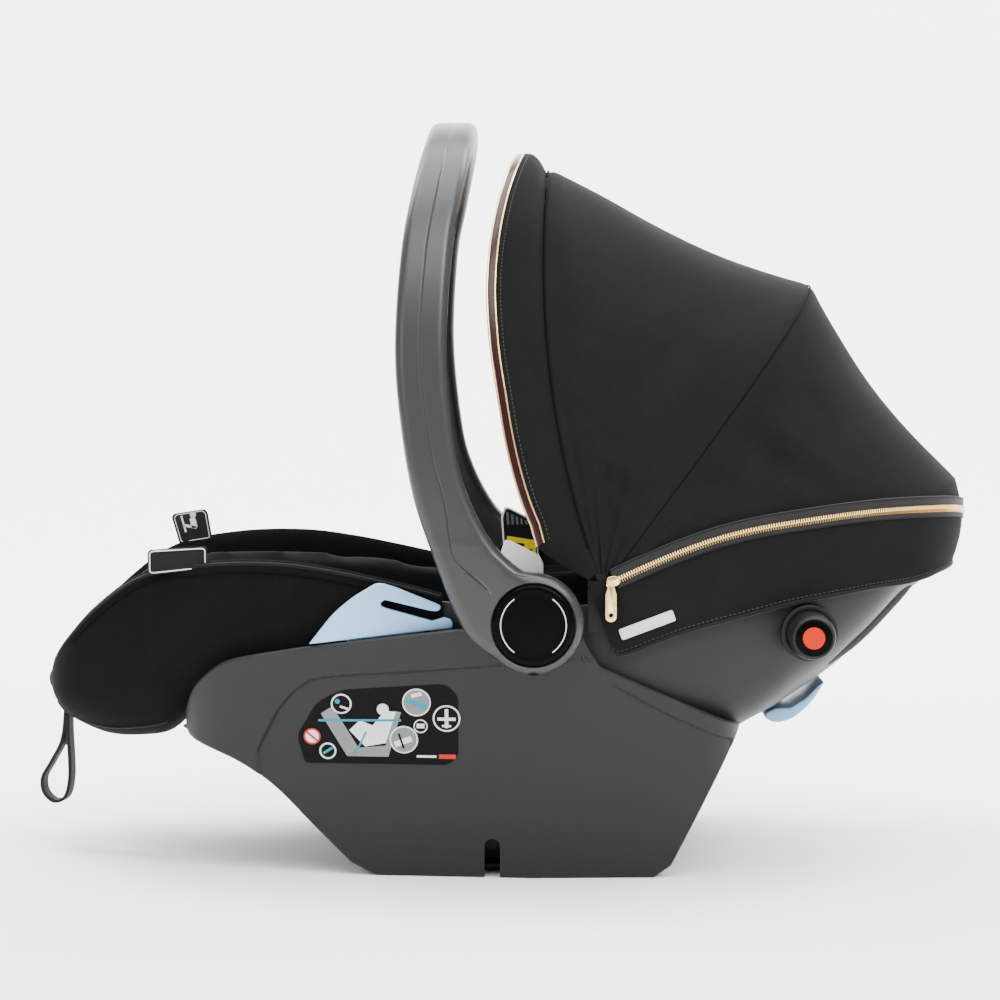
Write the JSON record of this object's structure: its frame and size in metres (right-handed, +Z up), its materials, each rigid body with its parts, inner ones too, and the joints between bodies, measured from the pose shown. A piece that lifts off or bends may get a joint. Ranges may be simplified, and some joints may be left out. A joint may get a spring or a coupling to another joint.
{
  "type": "infant car seat",
  "caption": "Rear-facing infant carrier seat: shell with padded bucket, folding fabric canopy, swinging carry handle, harness and belt guides.",
  "frame": {"origin": "on the floor, under the middle of the seat's length and width, at the base's lowest level", "axes": "+X along the seat towards the head end, +Y across the seat, +Z up"},
  "size_m": [0.7496, 0.44, 0.589],
  "materials": {
    "shell_plastic": "moulded dark grey, fine grain",
    "handle_plastic": "moulded grey, satin",
    "black_fabric": "woven, padded",
    "canopy_fabric": "woven, taut",
    "lining_fabric": "knitted mesh",
    "webbing": "woven webbing",
    "foam": "expanded foam",
    "gold_trim": "polished pale gold",
    "steel": "drawn",
    "blue_plastic": "moulded light blue",
    "silver_tag": "satin",
    "white_plastic": "moulded",
    "black_gloss": "polished",
    "black_plastic": "moulded black",
    "red_disc": "glossy",
    "label_film": "printed film",
    "grey_plastic": "moulded"
  },
  "bodies": {
    "root": {"lower_shell": "shell_plastic", "docking_tray": "black_plastic", "docking_bar": "steel", "latch_rod": "steel", "seat_shell": "shell_plastic", "foam_liner": "foam", "seat_cushion": "lining_fabric", "leg_cover": "black_fabric", "shell_screws": "steel", "belt_guide_left": "blue_plastic", "belt_guide_right": "blue_plastic", "rear_belt_guide": "blue_plastic", "hub_housing_left": "black_plastic", "hub_housing_right": "black_plastic", "label_left": "label_film", "label_right": "label_film", "canopy_pivot_left": "black_plastic", "canopy_pivot_right": "black_plastic", "canopy_skirt": "canopy_fabric", "zipper_chain": "gold_trim", "zip_slider": "gold_trim", "canopy_tag": "silver_tag", "shoulder_straps": "webbing", "shoulder_pads": "black_fabric", "lap_straps": "webbing", "crotch_strap": "webbing", "buckle": "black_plastic", "adjuster_housing": "black_plastic", "pull_strap": "webbing", "pod_socket_left": "shell_plastic", "pod_socket_right": "shell_plastic", "side_tab_left": "white_plastic", "side_tab_right": "white_plastic", "icon_tag": "webbing", "woven_tag": "webbing"},
    "handle": {"handle_front": "handle_plastic", "handle_rear": "handle_plastic", "button_spring_left": "steel", "button_spring_right": "steel"},
    "handle_button_left": {"handle_button_left": "black_gloss"},
    "handle_button_right": {"handle_button_right": "black_gloss"},
    "canopy_mid": {"canopy_mid_bow": "black_plastic", "canopy_rear_panel": "canopy_fabric"},
    "canopy_front": {"canopy_front_bow": "black_plastic", "canopy_visor": "canopy_fabric", "visor_trim": "gold_trim", "canopy_front_panel": "canopy_fabric"},
    "headrest": {"headrest_shell": "black_plastic", "headrest_pad": "black_fabric"},
    "headrest_lever": {"headrest_lever": "grey_plastic"},
    "buckle_button": {"buckle_button": "red_disc"},
    "adjuster_button": {"adjuster_button": "grey_plastic"},
    "latch": {"latch_hook": "steel"},
    "release_lever": {"release_lever": "black_plastic"},
    "zip_pull": {"zip_pull": "gold_trim"},
    "pod_left": {"pod_left": "black_gloss", "pod_cap_left": "red_disc"},
    "pod_right": {"pod_right": "black_gloss", "pod_cap_right": "red_disc"}
  },
  "joints": [
    {"name": "handle_swing", "type": "hinge", "parent": "root", "child": "handle", "pos_m": [0.025, 0, 0.206], "axis": [0, 1, 0], "range_deg": [-75, 100]},
    {"name": "handle_button_left_press", "type": "slide", "parent": "handle", "child": "handle_button_left", "axis": [0, 1, 0], "range_m": [0, 0.0035], "stiffness_N_per_m": 800, "deforming": ["button_spring_left"]},
    {"name": "handle_button_right_press", "type": "slide", "parent": "handle", "child": "handle_button_right", "axis": [0, -1, 0], "range_m": [0, 0.0035], "stiffness_N_per_m": 800, "deforming": ["button_spring_right"]},
    {"name": "canopy_mid_fold", "type": "hinge", "parent": "root", "child": "canopy_mid", "pos_m": [0.078, 0, 0.232], "axis": [0, 1, 0], "range_deg": [0, 27], "deforming": ["canopy_rear_panel"]},
    {"name": "canopy_front_fold", "type": "hinge", "parent": "canopy_mid", "child": "canopy_front", "pos_m": [0.078, 0, 0.232], "axis": [0, 1, 0], "range_deg": [0, 34], "deforming": ["canopy_front_panel"]},
    {"name": "headrest_height", "type": "slide", "parent": "root", "child": "headrest", "axis": [0.8387, 0, 0.5446], "range_m": [0, 0.045]},
    {"name": "headrest_lever_press", "type": "slide", "parent": "headrest", "child": "headrest_lever", "axis": [0.8387, 0, 0.5446], "range_m": [0, 0.004], "stiffness_N_per_m": 600},
    {"name": "buckle_button_press", "type": "slide", "parent": "root", "child": "buckle_button", "axis": [0, 0, -1], "range_m": [0, 0.0028], "stiffness_N_per_m": 500},
    {"name": "adjuster_button_press", "type": "slide", "parent": "root", "child": "adjuster_button", "axis": [0, 0, -1], "range_m": [0, 0.003], "stiffness_N_per_m": 500},
    {"name": "release_lever_pull", "type": "hinge", "parent": "root", "child": "release_lever", "pos_m": [0.163, 0, 0.078], "axis": [0, 1, 0], "range_deg": [-25, 0], "stiffness_Nm_per_rad": 0.4},
    {"name": "latch_turn", "type": "hinge", "parent": "root", "child": "latch", "pos_m": [0.09, 0, 0.032], "axis": [0, 1, 0], "range_deg": [0, 20], "stiffness_Nm_per_rad": 0.2},
    {"name": "zip_pull_swing", "type": "hinge", "parent": "root", "child": "zip_pull", "pos_m": [0.084, -0.1916, 0.2335], "axis": [0, 1, 0], "range_deg": [-25, 40]},
    {"name": "pod_left_slide", "type": "slide", "parent": "root", "child": "pod_left", "axis": [0, 1, 0], "range_m": [0, 0.013]},
    {"name": "pod_right_slide", "type": "slide", "parent": "root", "child": "pod_right", "axis": [0, -1, 0], "range_m": [0, 0.013]}
  ],
  "couplings": [
    {"joint": "canopy_front_fold", "follows": "canopy_mid_fold", "ratio": 1.2592},
    {"joint": "latch_turn", "follows": "release_lever_pull", "ratio": -0.8}
  ]
}
